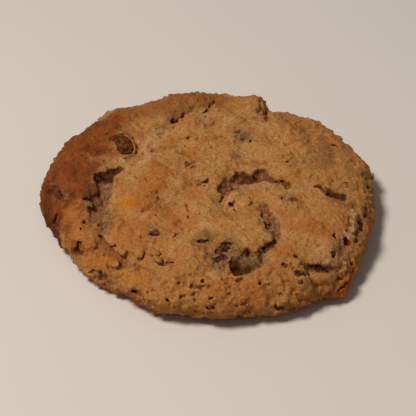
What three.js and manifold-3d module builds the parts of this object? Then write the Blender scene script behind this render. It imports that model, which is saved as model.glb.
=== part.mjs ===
// A large, soft oatmeal raisin cookie, baked as one free-formed mound of dough.
//
// The dough is a flat-bottomed round slab with an uneven outline, rolled edges, a low dome and a
// crust that has torn open in a few places. Raisins sit in pockets of the dough and break through
// its crust. Everything is in millimetres: +Z is up, the origin is under the middle of the cookie
// on the plane that it rests on, and -Y is the cookie's front.

import * as THREE from "three";
import { mergeVertices } from "three/addons/utils/BufferGeometryUtils.js";
import Module from "manifold-3d";

// ---- Driving dimensions ----

const MEAN_RADIUS = 43.25; // of the outline, seen from above
// The outline's uneven lobes, as [waves round the cookie, wave height in mm, place in degrees].
const OUTLINE_WAVES = [
  [1, 0.86, 16],
  [2, 1.99, -59],
  [3, 0.27, 147],
  [4, 0.44, 78],
  [5, 0.72, 137],
  [6, 0.43, 122],
  [7, 0.25, 164],
  [8, 0.31, -42],
];
// Narrower bulges and notches in it, as a direction, a half width and a rise over the waves.
const OUTLINE_BUMPS = [
  { degrees: 63, halfWidth: 1.9, rise: -2.4 }, // the notch at the back, where two lobes met
  { degrees: 68.5, halfWidth: 3.6, rise: 1.5 }, // the lobe beside it
  { degrees: 43, halfWidth: 5, rise: 0.9 },
  { degrees: 53, halfWidth: 11, rise: 1.1 },
  { degrees: 91, halfWidth: 6, rise: -0.5 },
  { degrees: 104, halfWidth: 4, rise: 0.7 },
  { degrees: 130, halfWidth: 4, rise: 1.2 },
  { degrees: 156, halfWidth: 6, rise: 1.1 },
  { degrees: 190, halfWidth: 4, rise: 0.6 },
  { degrees: 235, halfWidth: 5, rise: -0.7 },
  { degrees: 249, halfWidth: 5, rise: 0.5 },
  { degrees: 269, halfWidth: 8, rise: -0.5 },
  { degrees: 309, halfWidth: 3.5, rise: -2.3 },
  { degrees: 318, halfWidth: 4, rise: 1.2 },
  { degrees: 14, halfWidth: 3, rise: 0.9 },
];

const SHOULDER_HEIGHT = 12; // where the flat of the top meets the rolled edge
const DOME_HEIGHT = 2.2; // rise of the middle over the shoulder
const WIDEST_HEIGHT = 5; // of the edge's widest line above the resting plane
const TOP_ROLL = 10; // how far in the edge's upper rounding reaches
const UNDER_ROLL = 7; // how far in its lower rounding reaches, up to the flat underside
// Where that line lies higher or lower, as a direction, a half width and a rise.
const EDGE_RISES = [
  { degrees: 256, halfWidth: 32, rise: 1.8 }, // the front, which curls up off the resting plane
  { degrees: 321, halfWidth: 6.5, rise: -3 }, // the low foot that has slumped at the front right
];

const LUMP_HEIGHT = 0.28; // of each wave of the dough's broad, shallow unevenness
// Those waves, as [direction in degrees, length in mm, phase in degrees].
const LUMP_WAVES = [
  [12, 19, 40],
  [74, 15, 200],
  [131, 12, 310],
  [38, 10, 95],
  [163, 16, 150],
];
const POCKET_GAP = 0.35; // between a raisin and the dough round it

const DOUGH_DETAIL = 14; // subdivisions of the icosahedron that the dough is shaped from
const RAISIN_DETAIL = 2;
const TOP_SHARE = 0.72; // of the triangles, for the top and the rolled edge down to its widest line
const WELD = 1e-4; // vertices closer than this are one

const DOUGH_COLOUR = 0xb07a45;
const RAISIN_COLOUR = 0x2e1c22;

// ---- Relief of the crust ----

// Where the crust is thick, or has torn or creased: a line through these points on the plan, with
// how far the crust rises there (a tear sinks) and its half width.
const RELIEF_LINES = [
  {
    // the thick browned rim, from the left to the back
    path: [[-36, -16], [-38.5, 2], [-31, 17], [-19, 29], [-8, 35]],
    rise: 1.1,
    width: 6,
  },
  {
    // the tear between that rim and the middle
    path: [[-30.5, -15.5], [-28.6, -6], [-26.5, 1], [-20.5, 6.5], [-15.8, 14], [-11, 20.5]],
    rise: -1.6,
    width: 2.4,
  },
  {
    // the forked crack that carries on from it at the back
    path: [[-10.4, 22.4], [-6.5, 27.2], [-1.5, 28], [1.7, 33.3]],
    rise: -0.7,
    width: 1.5,
  },
  {
    // the crease along the front left
    path: [[-29, -19], [-26, -24.4], [-20.6, -29.4], [-13.7, -33.4]],
    rise: -1.2,
    width: 1.5,
  },
  {
    // the hooked tear right of the middle
    path: [[5.6, -12], [3.4, -7.5], [6.2, -0.5], [12, -0.6], [15.6, 2], [20.6, -2.6]],
    rise: -1.7,
    width: 2,
  },
  {
    // the second tear, which runs forward from it to the deep pit
    path: [[14.6, -12], [16.2, -19], [16.9, -24.6], [13, -28.4], [8, -33]],
    rise: -1.6,
    width: 1.9,
  },
  {
    // the cleft down the right side
    path: [[39.6, -8.5], [40, -14], [38.6, -20.4]],
    rise: -1.3,
    width: 1.8,
  },
  {
    // the slot at the front right
    path: [[24.4, -31.7], [28.5, -32.2], [33.6, -29.2]],
    rise: -1.3,
    width: 1.6,
  },
  {
    // the fold that runs in from the notch
    path: [[18, 38], [15.4, 30.5], [14, 26.5]],
    rise: -0.9,
    width: 1.7,
  },
];

// Broad swells of the crust, as a place on the plan, a half width and a height.
const SWELLS = [
  { at: [9, 34], width: 6, rise: 0.9 }, // the lobe beside the notch
  { at: [-15, -6], width: 9, rise: 0.9 },
  { at: [-14, -25], width: 7, rise: 0.5 },
  { at: [23, -14], width: 9, rise: 0.8 },
  { at: [7, -18], width: 7, rise: 0.6 },
  { at: [26, 12], width: 9, rise: 0.3 },
  { at: [36, -14], width: 3.5, rise: 0.8 }, // the pale flake beside the cleft
];

// Raisins: where each one is centred on the plan, its length, width and thickness, the turn of its
// length from +X in degrees, and how far it stands out of the dough.
const RAISINS = [
  { name: "raisin_front_middle", at: [3.6, -28.4], size: [8, 5, 4.2], turn: 66, proud: 0.5 },
  { name: "raisin_front_middle_small", at: [-1.6, -23.6], size: [6, 3.6, 3.4], turn: 18, proud: 0.35 },
  { name: "raisin_pit", at: [10.6, -30.4], size: [6.2, 5.2, 4.2], turn: 20, proud: 0.6 },
  { name: "raisin_back", at: [8.5, 18.2], size: [8.5, 5.6, 4], turn: 12, proud: 0.3 },
  { name: "raisin_left", at: [-13.7, -21.1], size: [6.6, 4.4, 3.6], turn: -20, proud: 0.35 },
  { name: "raisin_left_edge", at: [-37.6, -5], size: [7, 5, 4], turn: 70, proud: 0.4 },
  { name: "raisin_left_rim", at: [-22.8, 14.3], size: [8, 6, 4.4], turn: 118, proud: 0.5 },
  { name: "raisin_right_edge", at: [40.8, 2.6], size: [8.4, 5.4, 4.2], turn: 100, proud: 0.5 },
  { name: "raisin_right_cleft", at: [40.2, -14.2], size: [8.6, 4.4, 4.4], turn: 86, proud: 0.9 },
  { name: "raisin_right", at: [31.8, -24], size: [9.4, 5.4, 4.4], turn: 80, proud: 0.45 },
  { name: "raisin_front_right", at: [22.6, -34.4], size: [5.6, 4.4, 3.6], turn: -30, proud: 0.35 },
  { name: "raisin_slot", at: [29, -32.4], size: [5.6, 3.2, 3.2], turn: 12, proud: 0.8 },
  { name: "raisin_front", at: [0.6, -40.2], size: [6, 4.4, 3.4], turn: 15, proud: 0.35 },
];
const RAISIN_FOLDS = 5; // lengthwise wrinkles
const RAISIN_FOLD_DEPTH = 0.14; // as a share of the raisin's thickness

// ---- The dough's form ----

const radians = THREE.MathUtils.degToRad;

/** A smooth hill of height 1 at distance 0, nearly gone at twice its half width. */
function hill(distance, halfWidth) {
  return Math.exp(-((distance / halfWidth) ** 2));
}

/** A hill of height 1 round the direction `degrees`, for a direction `angle` in radians. */
function hillAround(angle, { degrees, halfWidth }) {
  const turned = angle - radians(degrees) + Math.PI;
  const apart = THREE.MathUtils.euclideanModulo(turned, 2 * Math.PI) - Math.PI;
  return hill(apart, radians(halfWidth));
}

/** The outline's distance from the origin in the direction `angle`. */
function outlineRadius(angle) {
  let radius = MEAN_RADIUS;
  for (const [count, height, place] of OUTLINE_WAVES) {
    radius += height * Math.cos(count * angle - radians(place));
  }
  for (const bump of OUTLINE_BUMPS) {
    radius += bump.rise * hillAround(angle, bump);
  }
  return radius;
}

/** The height of the edge's widest line in the direction `angle`. */
function widestHeight(angle) {
  return EDGE_RISES.reduce((height, edge) => height + edge.rise * hillAround(angle, edge), WIDEST_HEIGHT);
}

const LINE_STEPS = 40;
const reliefLines = RELIEF_LINES.map(({ path, rise, width }) => {
  const line = new THREE.SplineCurve(path.map(([x, y]) => new THREE.Vector2(x, y)));
  return { points: line.getSpacedPoints(LINE_STEPS), rise, width };
});

/** How far the crust lies above the smooth dome at one place on the plan. */
function relief(x, y) {
  const place = new THREE.Vector2(x, y);
  let height = 0;
  for (const [direction, length, phase] of LUMP_WAVES) {
    const along = x * Math.cos(radians(direction)) + y * Math.sin(radians(direction));
    height += LUMP_HEIGHT * Math.sin((2 * Math.PI * along) / length + radians(phase));
  }
  for (const { at, width, rise } of SWELLS) {
    height += rise * hill(Math.hypot(x - at[0], y - at[1]), width);
  }
  for (const { points, rise, width } of reliefLines) {
    const distance = Math.min(...points.map((point) => point.distanceTo(place)));
    height += rise * hill(distance, width);
  }
  return height;
}

/** The height of the upper surface over one place on the plan, down to the edge's widest line. */
function topHeight(x, y) {
  const angle = Math.atan2(y, x);
  const share = Math.min(Math.hypot(x, y) / outlineRadius(angle), 1);
  const intoRoll = Math.max(share * MEAN_RADIUS - (MEAN_RADIUS - TOP_ROLL), 0) / TOP_ROLL;
  const roll = Math.sqrt(Math.max(1 - intoRoll ** 2, 0));
  const smooth = THREE.MathUtils.lerp(widestHeight(angle), SHOULDER_HEIGHT, roll);
  return smooth + DOME_HEIGHT * (1 - share ** 2) + relief(x, y) * roll;
}

/** The outward direction of the upper surface over one place on the plan. */
function topNormal(x, y) {
  const step = 0.5; // mm to either side
  const slopeX = (topHeight(x + step, y) - topHeight(x - step, y)) / (2 * step);
  const slopeY = (topHeight(x, y + step) - topHeight(x, y - step)) / (2 * step);
  return new THREE.Vector3(-slopeX, -slopeY, 1).normalize();
}

const SECTION_STEPS = 400;

/**
 * The slab's section from the middle of the top, over the rolled edge, to the middle of the flat
 * underside, as evenly spaced points (distance from the axis, height).
 */
function sectionPoints() {
  const section = new THREE.Path();
  section.moveTo(0, SHOULDER_HEIGHT);
  section.lineTo(MEAN_RADIUS - TOP_ROLL, SHOULDER_HEIGHT);
  const topRise = SHOULDER_HEIGHT - WIDEST_HEIGHT;
  const flatUnder = MEAN_RADIUS - UNDER_ROLL;
  section.absellipse(MEAN_RADIUS - TOP_ROLL, WIDEST_HEIGHT, TOP_ROLL, topRise, Math.PI / 2, 0, true);
  section.absellipse(flatUnder, WIDEST_HEIGHT, UNDER_ROLL, WIDEST_HEIGHT, 0, -Math.PI / 2, true);
  section.lineTo(0, 0);
  return section.getSpacedPoints(SECTION_STEPS);
}

/**
 * Tables that turn a share of the sphere's area, from its top pole down, into a place on the
 * section, so that triangles of a sphere stay even in size on the slab.
 */
function sectionByArea(points) {
  const widest = points.reduce((best, point, i) => (point.x > points[best].x ? i : best), 0);
  const areas = [0];
  for (let i = 1; i < points.length; i += 1) {
    const ring = (points[i].x + points[i - 1].x) * points[i].distanceTo(points[i - 1]);
    areas.push(areas[i - 1] + ring);
  }
  const top = areas[widest];
  const under = areas.at(-1) - top;
  const shares = areas.map((area) =>
    area <= top ? (TOP_SHARE * area) / top : TOP_SHARE + ((1 - TOP_SHARE) * (area - top)) / under,
  );
  return (share) => {
    let i = shares.findIndex((value) => value >= share);
    i = i < 1 ? 1 : i;
    const t = (share - shares[i - 1]) / (shares[i] - shares[i - 1]);
    return { point: points[i - 1].clone().lerp(points[i], t), isTop: share <= TOP_SHARE };
  };
}

/** A sphere of even triangles, moved point by point onto the cookie's form. */
function doughGeometry() {
  const sphere = new THREE.IcosahedronGeometry(1, DOUGH_DETAIL);
  const position = sphere.getAttribute("position");
  const placeOn = sectionByArea(sectionPoints());
  const spot = new THREE.Vector3();
  for (let i = 0; i < position.count; i += 1) {
    spot.fromBufferAttribute(position, i).normalize();
    const { point, isTop } = placeOn((1 - spot.z) / 2);
    const angle = Math.atan2(spot.y, spot.x);
    const radius = (point.x * outlineRadius(angle)) / MEAN_RADIUS;
    const x = radius * Math.cos(angle);
    const y = radius * Math.sin(angle);
    const underHeight = (point.y * widestHeight(angle)) / WIDEST_HEIGHT;
    position.setXYZ(i, x, y, isTop ? topHeight(x, y) : underHeight);
  }
  return sphere;
}

// ---- Raisins ----

/** A raisin or, with `grow` above 0, the pocket that it sits in, placed in the crust. */
function raisinMesh({ name, at, size, turn, proud }, grow = 0) {
  const geometry = new THREE.IcosahedronGeometry(1, RAISIN_DETAIL);
  const position = geometry.getAttribute("position");
  const spot = new THREE.Vector3();
  for (let i = 0; i < position.count; i += 1) {
    spot.fromBufferAttribute(position, i);
    const round = Math.atan2(spot.z, spot.y);
    const fold = 1 - RAISIN_FOLD_DEPTH * (0.5 + 0.5 * Math.cos(RAISIN_FOLDS * round)) * (1 - spot.x ** 2);
    position.setXYZ(i, spot.x, spot.y * fold, spot.z * fold);
  }
  const [length, width, thickness] = size.map((full) => full / 2 + grow);
  geometry.scale(length, width, thickness);
  const mesh = new THREE.Mesh(geometry, raisinSkin);
  const normal = topNormal(...at);
  const spin = new THREE.Quaternion().setFromAxisAngle(new THREE.Vector3(0, 0, 1), radians(turn));
  const tilt = new THREE.Quaternion().setFromUnitVectors(new THREE.Vector3(0, 0, 1), normal);
  mesh.quaternion.copy(tilt.multiply(spin));
  mesh.position.set(...at, topHeight(...at)).addScaledVector(normal, proud - size[2] / 2);
  mesh.name = name;
  return mesh;
}

// ---- Solids ----

const wasm = await Module();
wasm.setup();

/** A mesh's closed surface, in the frame of its parent, as a solid that can be cut. */
function solidOf(mesh) {
  mesh.updateMatrix();
  const bare = mesh.geometry.clone().applyMatrix4(mesh.matrix);
  bare.deleteAttribute("normal");
  bare.deleteAttribute("uv");
  const welded = mergeVertices(bare, WELD);
  return new wasm.Manifold(
    new wasm.Mesh({
      numProp: 3,
      vertProperties: new Float32Array(welded.getAttribute("position").array),
      triVerts: new Uint32Array(welded.index.array),
    }),
  );
}

/** A solid's surface as a three.js geometry. */
function geometryOf(solid) {
  const { vertProperties, triVerts } = solid.getMesh();
  const geometry = new THREE.BufferGeometry();
  geometry.setAttribute("position", new THREE.BufferAttribute(vertProperties, 3));
  geometry.setIndex(new THREE.BufferAttribute(triVerts, 1));
  geometry.computeVertexNormals();
  return geometry;
}

const crumb = new THREE.MeshStandardMaterial({ color: DOUGH_COLOUR, roughness: 0.85, metalness: 0 });
const raisinSkin = new THREE.MeshStandardMaterial({ color: RAISIN_COLOUR, roughness: 0.45, metalness: 0 });

const cookie = new THREE.Group();

const pockets = RAISINS.map((raisin) => solidOf(raisinMesh(raisin, POCKET_GAP)));
const wholeDough = solidOf(new THREE.Mesh(doughGeometry(), crumb));
const dough = new THREE.Mesh(
  geometryOf(pockets.reduce((solid, pocket) => solid.subtract(pocket), wholeDough)),
  crumb,
);
dough.name = "dough";
cookie.add(dough);
cookie.add(...RAISINS.map((raisin) => raisinMesh(raisin)));

// The origin goes under the middle of the whole cookie.
const middle = new THREE.Box3().setFromObject(cookie, true).getCenter(new THREE.Vector3());
cookie.position.set(-middle.x, -middle.y, 0);

export default cookie;
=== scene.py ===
"""A large oatmeal raisin cookie lying on a pale worktop, in soft light.

The CAD model gives the cookie's form: its outline, dome, rim and raisins. Here the dough's crust is
worked up on a grid of distances to its surface: crumbs, oat flakes and lumps are added to it, and
tears, cracks and pores cut into it. It is then meshed again. Sizes are in millimetres until a mesh
is made, and places in the image, where a feature was read off, are in pixels of its 416 by 416.
"""

import math

import bpy
import numpy as np
import openvdb
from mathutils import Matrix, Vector, noise
from mathutils.bvhtree import BVHTree


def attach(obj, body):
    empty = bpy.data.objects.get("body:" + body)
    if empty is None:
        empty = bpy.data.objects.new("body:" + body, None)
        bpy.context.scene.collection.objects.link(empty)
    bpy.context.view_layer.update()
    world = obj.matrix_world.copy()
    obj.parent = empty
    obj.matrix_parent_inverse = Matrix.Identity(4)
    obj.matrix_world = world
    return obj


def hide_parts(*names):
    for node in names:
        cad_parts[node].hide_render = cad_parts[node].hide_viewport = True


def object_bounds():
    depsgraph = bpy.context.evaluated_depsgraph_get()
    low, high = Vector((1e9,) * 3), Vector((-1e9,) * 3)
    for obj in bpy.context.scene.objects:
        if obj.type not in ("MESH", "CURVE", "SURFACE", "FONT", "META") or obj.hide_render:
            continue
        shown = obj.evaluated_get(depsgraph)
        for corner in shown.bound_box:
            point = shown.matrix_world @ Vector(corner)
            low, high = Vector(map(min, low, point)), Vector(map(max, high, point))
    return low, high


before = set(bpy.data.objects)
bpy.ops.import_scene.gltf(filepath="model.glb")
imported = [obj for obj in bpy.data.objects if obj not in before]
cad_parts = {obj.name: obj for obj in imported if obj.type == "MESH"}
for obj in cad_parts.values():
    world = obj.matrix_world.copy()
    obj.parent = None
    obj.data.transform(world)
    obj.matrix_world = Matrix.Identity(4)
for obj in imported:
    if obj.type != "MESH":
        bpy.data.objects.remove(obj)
cad_low, cad_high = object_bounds()

MM = 0.001

# ---- Sizes ----

VOXEL = 0.28  # of the distance grid
BAND = 4.0  # how far from the surface distances are kept
MARGIN = 2.0  # of the grid round the CAD model
EMPTY = 3.0  # the distance in a field that holds no shape yet
MOST_FACES = 190_000
SMOOTHING = 1.4  # of the CAD model's facets

BEAD_STEP = 0.25  # between the ellipsoids that make a groove
BEAD_TAPER = 0.15  # the share of a groove, at each end, over which it narrows
LEAST_BEAD = 0.2  # half width
WANDER_REACH = 6  # beads on each side that share in a groove's wandering
PIT_GRAINS = 7
LEAST_GRAIN = 0.18  # half width
FOLD_CLIFF = 0.35  # the width of a fold's steep side

TOP_FROM = (3, 5)  # the heights between which the cookie's side turns into its top
FRONT_FROM = (-20, -36)  # the places along Y between which its rough front begins
SLOPES = 0.25  # the height of the crust's broad rolls
ROLLS = 0.24
PEAK_FROM = (14.6, 16.0)
PEAK_DROP = 0.3  # how far the highest part is held down
SKIN = 0.5  # the dough's thickness over raisins
CRUST_FROM = 1.0  # the lowest height at which plates, flakes, crumbs and pores are set
LARGE_PLATE = 8.5
LARGE_STEP = 0.25  # between plates' levels
SMALL_PLATE = 4.2
SMALL_STEP = 0.28
BORDER_DROP = 0.18  # of a small plate's border
BORDER_WIDTH = 0.4
PLATE_TRIES = 20_000  # places that may become a plate's middle
FLAKES = 150
FLAKE_LENGTHS = (1.6, 2.5)
FLAKE_SINK = 0.25
CRUMBS = 18000
CRUMB_RADII = (0.28, 0.55)
PORES = 30
UNDERSIDE_RELIEF = 0.12

PATCH_STEP = 1.0  # between the places from which a patch of colour spreads
DEEPEST = 3.0  # deeper places belong to a side or the underside
LEVEL = 0.75  # the least upward part of a direction that counts as the top's
ABOVE = 30.0  # a height that is clear of the cookie

RAISIN_LEVELS = 3  # of subdivision
WRINKLE = 0.4
CREASE_SPREAD = 0.12  # of the noise round 0 that makes a crease
WRINKLE_LENGTH = 3.0
WRINKLE_WIDTH = 0.65
PROUD = 0.4  # how far a raisin swells out where the crust is open
PUSHED_ASIDE = 3.0  # how far a bored pit drives a raisin back

IMAGE_SIZE = 416
CAMERA_ELEVATION = math.radians(42)
CAMERA_DISTANCE = 420
CAMERA_TARGET = np.array([0, -4.87, 7])
PIXELS_PER_MM = 3.77  # at the target
SENSOR = 36

# ---- The crust's features, as read off the image ----

# Cracks and creases: the pixels that each runs through, its half width and its depth.
CRACKS = {
    "back_blob": ([(173, 121.5), (178, 120.5), (182.5, 117.5)], 0.85, 1.6),
    "back_blob_low": ([(174.5, 126.5), (176, 129.5)], 0.6, 1.0),
    "back_crack": ([(184, 115), (187.5, 113.5)], 0.6, 1.4),
    "back_crack_middle": ([(188, 113), (194, 112.3), (201, 113.3)], 0.28, 0.9),
    "back_crack_right": ([(201.5, 113.5), (206, 111.5), (208, 109)], 0.8, 1.4),
    "back_crack_fork": ([(208.5, 108.5), (211, 103.5), (216, 100.5)], 0.5, 1.1),
    "crater": ([(198.5, 181), (200, 183.3)], 0.45, 1.1),
    "crater_tail": ([(200, 184), (206.5, 186)], 0.32, 0.9),
    "rim_tear": ([(99.5, 177), (104, 176.5), (109, 177)], 0.8, 1.5),
    "rim_tear_right": ([(110, 170.5), (114, 172), (120, 168.5)], 0.6, 1.0),
    "rim_crack": ([(99, 184), (100, 190), (99.5, 198)], 0.3, 0.7),
    "left_streak": ([(88.5, 272), (96, 271.8)], 0.35, 0.7),
    "left_edge_crack": ([(57, 212), (55, 218), (53.5, 223), (55, 228)], 0.6, 1.3),
    "left_edge_crack_low": ([(55.5, 229), (57.5, 233)], 0.4, 0.9),
    "left_edge_cleft": ([(58.5, 193), (61, 196.5), (62.5, 199)], 0.85, 2.2),
    "notch_fold": ([(266.5, 111), (266.5, 118), (264, 122.5)], 0.55, 1.4),
    "hook_left": ([(222, 185), (221, 192), (222, 197), (219, 202.5)], 0.32, 1.2),
    "hook_left_low": ([(217.5, 203), (220, 202.3)], 0.45, 1.1),
    "hook_corner": ([(234, 181), (235, 175.5)], 0.3, 0.9),
    "hook_upper": ([(251, 178), (255, 176), (260, 171)], 0.5, 0.9),
    "hook_right": ([(279, 181), (283, 183), (287, 184.8)], 0.5, 1.3),
    "hook_mark": ([(217, 175), (221, 175.5)], 0.25, 0.7),
    "hook_low": ([(227.5, 203.5), (231, 204.5), (233.5, 205)], 0.55, 0.8),
    "hook_tail": ([(233, 209.5), (237.5, 212.5)], 0.25, 0.7),
    "second_tear_dark": ([(271, 245), (267, 248), (262, 250.5)], 0.6, 1.0),
    "second_tear_line": ([(259.5, 252.5), (260, 259.5)], 0.35, 0.9),
    "slot": ([(306, 265), (308.5, 269), (316, 269), (324, 270), (328.5, 270)], 0.75, 1.4),
    "slot_end": ([(329, 269), (334, 268.5), (338.5, 267), (342, 264)], 0.3, 0.9),
    "right_slot": ([(328.5, 192.5), (331, 195.5), (337, 196), (343, 197)], 0.8, 1.7),
    "right_slot_left": ([(314, 186), (319, 187), (325, 190)], 0.5, 1.1),
    "slit": ([(283.5, 197.5), (290, 197), (300, 198)], 0.45, 0.7),
    "slit_tail": ([(301, 197.5), (311, 196.8)], 0.2, 0.5),
    "curved_slit": ([(317.4, 220), (324.7, 224.2), (330, 229.5)], 0.25, 0.8),
    "back_right_slit": ([(331.8, 145.5), (336, 147), (340, 148)], 0.5, 1.3),
    "small_slit": ([(276, 161), (280, 161.5), (285, 162.8), (291, 162)], 0.28, 0.6),
    "green_slit": ([(309, 168), (313.5, 169)], 0.35, 1.1),
    "left_centre_crack": ([(171, 238.3), (174.5, 237.5), (178, 234), (181, 231.8)], 0.35, 1.1),
    "low_crack": ([(162, 257.5), (165, 260.5), (171, 261.3), (177, 261)], 0.42, 1.2),
    "low_crack_left": ([(156.5, 256.7), (159, 257)], 0.25, 0.7),
    "red_slit": ([(147, 255), (144.5, 257.5)], 0.3, 0.9),
    "front_crack_line": ([(176, 278.5), (182, 279.5), (186.5, 281), (189.5, 284)], 0.3, 1.0),
    "front_crack": ([(190, 284.5), (192, 287.5), (195.5, 288), (200, 288.5)], 0.5, 1.5),
    "front_crack_tail": ([(200, 288), (207, 287.5)], 0.2, 0.6),
    "front_crack_down": ([(189.5, 284), (190, 293)], 0.2, 0.5),
    "front_crack_low": ([(181, 297.5), (185, 296.3), (188.5, 297.5)], 0.35, 1.0),
    "front_crack_hook": ([(195, 294), (193.5, 297), (191.5, 299)], 0.3, 1.0),
    "front_edge_crack": ([(166, 300), (169, 301.5), (172, 306)], 0.45, 1.3),
    "front_right_crack": ([(277, 303), (279, 307), (285, 309)], 0.5, 1.3),
    "front_hollow": ([(129, 294), (134, 292), (139.5, 294)], 1.3, 0.4),
    "raisin_line": ([(215.8, 270.5), (214, 273.5), (212.6, 277)], 0.2, 0.5),
    "centre_crack": ([(185.3, 199.5), (186, 205), (188.5, 211), (190, 217.5)], 0.32, 0.7),
    "centre_line": ([(170.5, 168), (172.5, 175)], 0.2, 0.5),
    "right_back_crack": ([(307.5, 135.5), (311, 138.5)], 0.6, 0.9),
    "right_back_edge": ([(288.5, 118), (291, 121.5)], 0.45, 0.9),
    "right_back_edge_low": ([(294, 124), (299, 127)], 0.5, 0.6),
    "cleft": ([(361, 214), (361, 222), (360, 229)], 0.45, 0.9),
    "flake_left": ([(348.5, 217.5), (347.5, 225), (347, 231.5)], 0.3, 0.8),
    "right_fold": ([(346.5, 237.5), (346, 241.5), (351, 243.5)], 0.9, 1.8),
    "right_fold_end": ([(355, 242.5), (358, 241)], 0.5, 1.1),
    "right_hollow": ([(337, 275.5), (341, 278), (346, 273.5)], 0.7, 1.0),
    "foot_crack": ([(332, 294), (338, 291), (344, 286), (350, 277), (354, 269)], 0.4, 0.9),
    "under_lump": ([(241, 269), (248, 269)], 0.5, 1.2),
    "lump_right_edge": ([(258.5, 252), (261.5, 259), (259.5, 264), (252, 266.8)], 0.28, 0.9),
}

# Troughs, which are smoother than the cracks, given in the same way.
TROUGHS = {
    "crease": ([(99, 233), (103, 243), (109, 250), (115, 254.5), (121, 259), (127, 262.3)], 0.75, 0.65),
    "crease_end": ([(113, 250.5), (120, 256), (127, 261.5), (134, 264), (143, 268), (153, 273)], 0.3, 0.9),
    "crease_tail": ([(152.6, 272.6), (158, 277), (161, 281)], 0.35, 0.4),
}

# Pits, each a cluster of small ellipsoids: the pixel, the half width and the depth of each.
PITS = {
    "double": [(236, 266.5, 1.0, 2.6), (236, 271.8, 0.9, 2.5)],
    "left_cleft": [(60.3, 196, 0.95, 1.8)],
    "lump_right": [(259, 264, 0.4, 1.0)],
    "rim_tear_drop": [(114.5, 181.5, 0.6, 1.2)],
    "left_dark": [
        (86, 198.5, 0.6, 0.8), (91, 200, 0.7, 0.9), (95.5, 199, 0.4, 0.8), (96, 214, 0.6, 0.7),
    ],
    "left_mid": [(85, 222.5, 0.5, 1.0), (81, 230.5, 0.4, 1.0)],
    "left_low": [
        (78.5, 252, 0.9, 1.0), (79, 244, 0.9, 0.5), (76, 243, 0.35, 0.8), (102, 276, 1.0, 1.5),
        (107.4, 268.4, 0.4, 0.9),
    ],
    "left_edge_hollow": [(52, 190, 1.3, 0.9)],
    "front_hollow": [(145.5, 299.3, 0.45, 1.2), (152, 299, 0.5, 1.2), (151, 291, 0.4, 0.7)],
    "front_dots": [
        (201.5, 281.5, 0.38, 1.1), (224.5, 278, 0.45, 0.7), (225.5, 281, 0.4, 0.7),
        (220.5, 282.6, 0.28, 0.8), (230, 293.6, 0.45, 1.0), (196.5, 313.2, 0.5, 1.1),
        (203, 314, 0.35, 0.8), (194.2, 304.2, 0.3, 0.7),
    ],
    "front_ring": [(261.5, 281, 0.4, 0.9), (260, 285, 0.55, 1.2), (254, 282.2, 0.35, 0.7)],
    "front_brown_hollow": [(210, 308.5, 0.8, 0.7)],
    "right_dots": [
        (284.3, 266.3, 0.6, 1.3), (288, 261.8, 0.25, 0.6), (274.2, 261, 0.45, 0.5),
        (281.6, 273, 0.25, 0.6), (296, 256.3, 0.5, 1.2), (292, 268.8, 0.3, 0.7),
        (318.5, 240.3, 0.55, 1.1), (306.8, 243.4, 0.4, 0.9), (352.3, 263.5, 0.45, 1.0),
    ],
    "back_dots": [
        (246.8, 120.5, 0.4, 1.0), (198.6, 120.5, 0.5, 0.5), (159, 117.7, 0.4, 1.0),
        (142.7, 122.7, 0.35, 1.0), (155.5, 130.3, 0.45, 0.6), (254, 129, 0.35, 0.5),
        (256.6, 141.5, 0.3, 0.7), (213.5, 145.5, 0.6, 0.6), (235.2, 156, 0.55, 0.7),
    ],
    "back_crater": [(261, 113, 0.9, 0.5)],
    "back_right_dots": [(285.5, 144.5, 0.4, 0.9), (292.3, 153.1, 0.35, 0.8), (284, 157, 0.35, 0.6)],
    "mid_dots": [(293, 174, 0.4, 0.7), (331.3, 179.7, 0.4, 0.7), (343.4, 176.6, 0.3, 0.8)],
    "second_tear": [(264.5, 204.5, 0.5, 1.2), (275.5, 224, 0.3, 0.9), (280, 233, 0.3, 0.8)],
    "rim_dots": [(106, 134.5, 0.5, 0.7), (112.5, 138, 0.5, 0.9)],
    "right_slot_end": [(345.5, 195.5, 0.45, 1.0)],
    "centre_dots": [
        (169, 201.6, 0.35, 0.9), (181.3, 202.6, 0.3, 0.8), (156, 215.3, 0.38, 0.9),
        (124.3, 220.7, 0.5, 0.5), (180.5, 153, 0.4, 0.5),
    ],
    "square_hole": [(189, 166, 0.8, 0.7)],
}

# Pits that are bored out whole as well, and that push aside any raisin in their way.
BORED_PITS = ("double", "left_cleft")

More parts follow.
